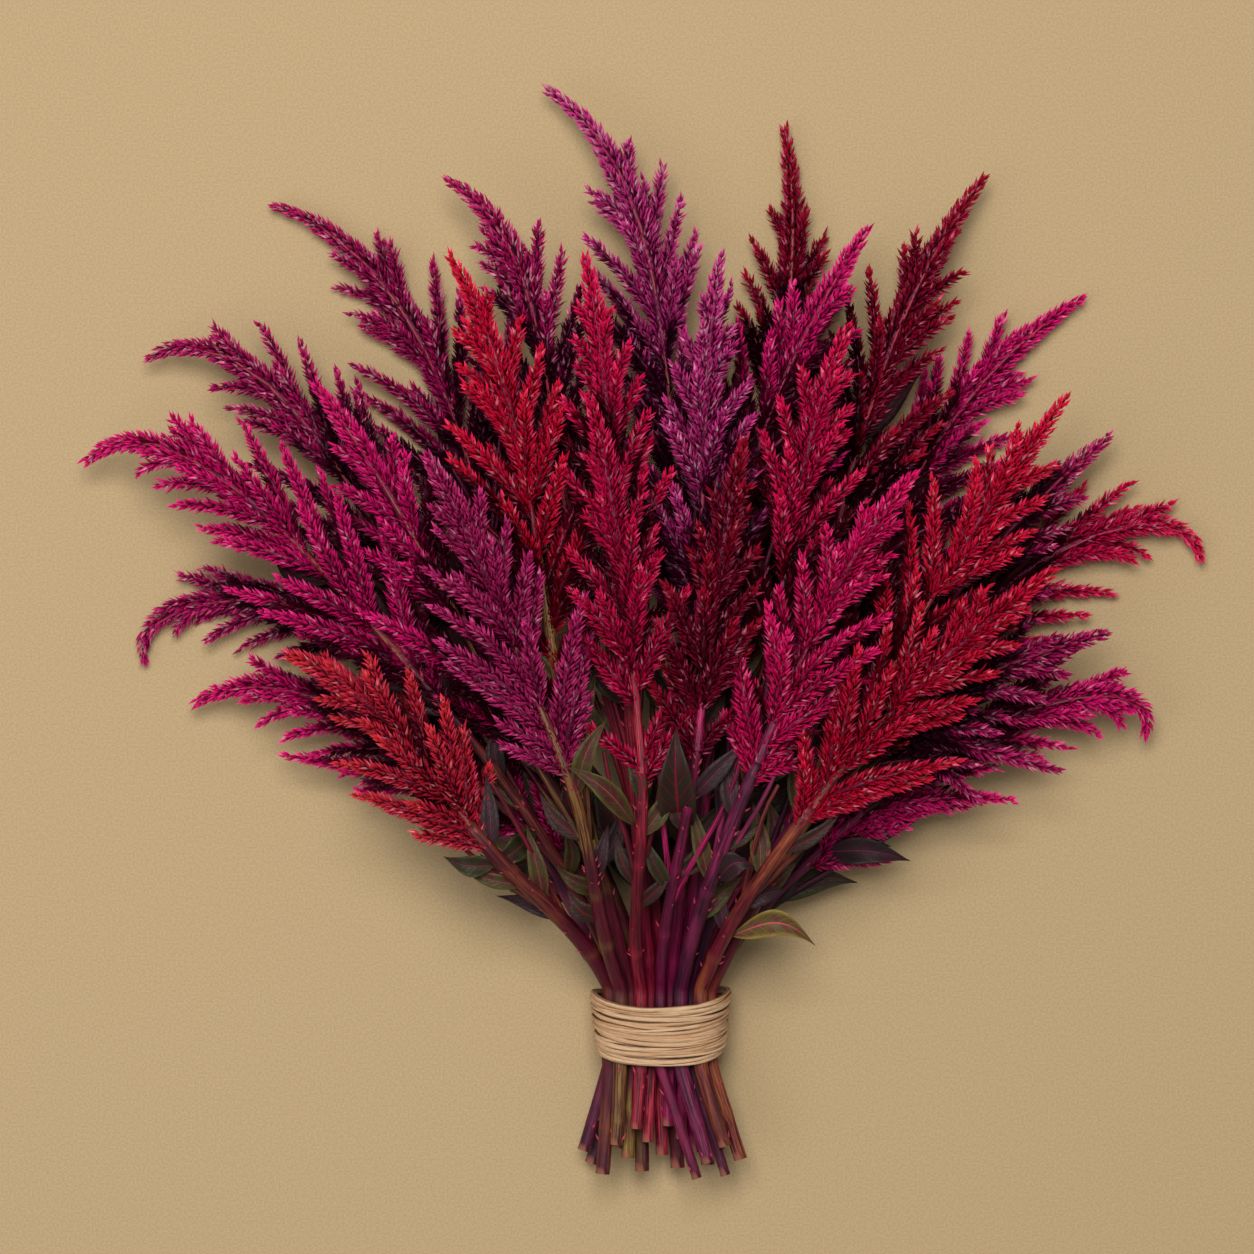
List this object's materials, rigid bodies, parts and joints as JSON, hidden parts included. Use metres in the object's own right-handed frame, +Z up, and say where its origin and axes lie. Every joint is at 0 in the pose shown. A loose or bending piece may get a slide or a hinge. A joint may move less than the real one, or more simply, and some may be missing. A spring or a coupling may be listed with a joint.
{
  "type": "bunch of plumed celosia",
  "caption": "Hand-tied bunch of plumed celosia in crimson, magenta, red and purple, lying on its side, stems bound with a wide raffia tie above their splayed cut ends.",
  "frame": {"origin": "middle of the flat foot under the raffia tie, on the surface that the bunch lies on", "axes": "+Y from the tie to the plume tips, +X to the right seen from above, +Z up from the surface"},
  "size_m": [0.5699, 0.5494, 0.1191],
  "materials": {
    "plume_crimson": "dense glossy florets, brighter at their tips",
    "plume_red": "dense glossy florets, brighter at their tips",
    "plume_magenta": "dense glossy florets, brighter at their tips",
    "plume_pink": "dense glossy florets, brighter at their tips",
    "plume_plum": "dense glossy florets, brighter at their tips",
    "plume_violet": "dense glossy florets, brighter at their tips",
    "plume_mauve": "dense glossy florets, brighter at their tips",
    "plume_wine": "dense glossy florets, brighter at their tips",
    "plume_orange": "dense glossy florets, brighter at their tips",
    "stem_magenta": "satin ribbed stem",
    "stem_maroon": "satin ribbed stem",
    "stem_rust": "satin ribbed stem",
    "stem_olive": "satin ribbed stem",
    "stem_red": "satin ribbed stem",
    "leaf_striped": "veined leaf, satin",
    "leaf_dark": "veined leaf, satin",
    "leaf_olive": "veined leaf, satin",
    "leaf_purple": "veined leaf, satin",
    "leaf_green": "veined leaf, satin",
    "raffia": "dry fibrous strands"
  },
  "bodies": {
    "root": {"plume_01": "plume_plum", "stem_01": "stem_maroon", "plume_02": "plume_plum", "stem_02": "stem_rust", "plume_03": "plume_wine", "stem_03": "stem_olive", "plume_04": "plume_magenta", "stem_04": "stem_red", "plume_05": "plume_crimson", "stem_05": "stem_magenta", "plume_06": "plume_magenta", "stem_06": "stem_maroon", "plume_07": "plume_plum", "stem_07": "stem_rust", "plume_08": "plume_violet", "stem_08": "stem_olive", "plume_09": "plume_wine", "stem_09": "stem_red", "plume_10": "plume_plum", "stem_10": "stem_magenta", "plume_11": "plume_magenta", "stem_11": "stem_maroon", "plume_12": "plume_magenta", "stem_12": "stem_rust", "plume_13": "plume_magenta", "stem_13": "stem_olive", "plume_14": "plume_plum", "stem_14": "stem_red", "plume_15": "plume_magenta", "stem_15": "stem_magenta", "plume_16": "plume_plum", "stem_16": "stem_maroon", "plume_17": "plume_orange", "stem_17": "stem_rust", "plume_18": "plume_red", "stem_18": "stem_olive", "plume_19": "plume_crimson", "stem_19": "stem_red", "plume_20": "plume_violet", "stem_20": "stem_magenta", "plume_21": "plume_crimson", "stem_21": "stem_maroon", "plume_22": "plume_red", "stem_22": "stem_rust", "plume_23": "plume_mauve", "stem_23": "stem_olive", "plume_24": "plume_crimson", "stem_24": "stem_red", "plume_25": "plume_wine", "stem_25": "stem_magenta", "plume_26": "plume_pink", "stem_26": "stem_maroon", "plume_27": "plume_red", "stem_27": "stem_rust", "leaf_01": "leaf_striped", "leaf_02": "leaf_dark", "leaf_03": "leaf_olive", "leaf_04": "leaf_purple", "leaf_05": "leaf_green", "raffia_tie": "raffia"}
  },
  "joints": []
}
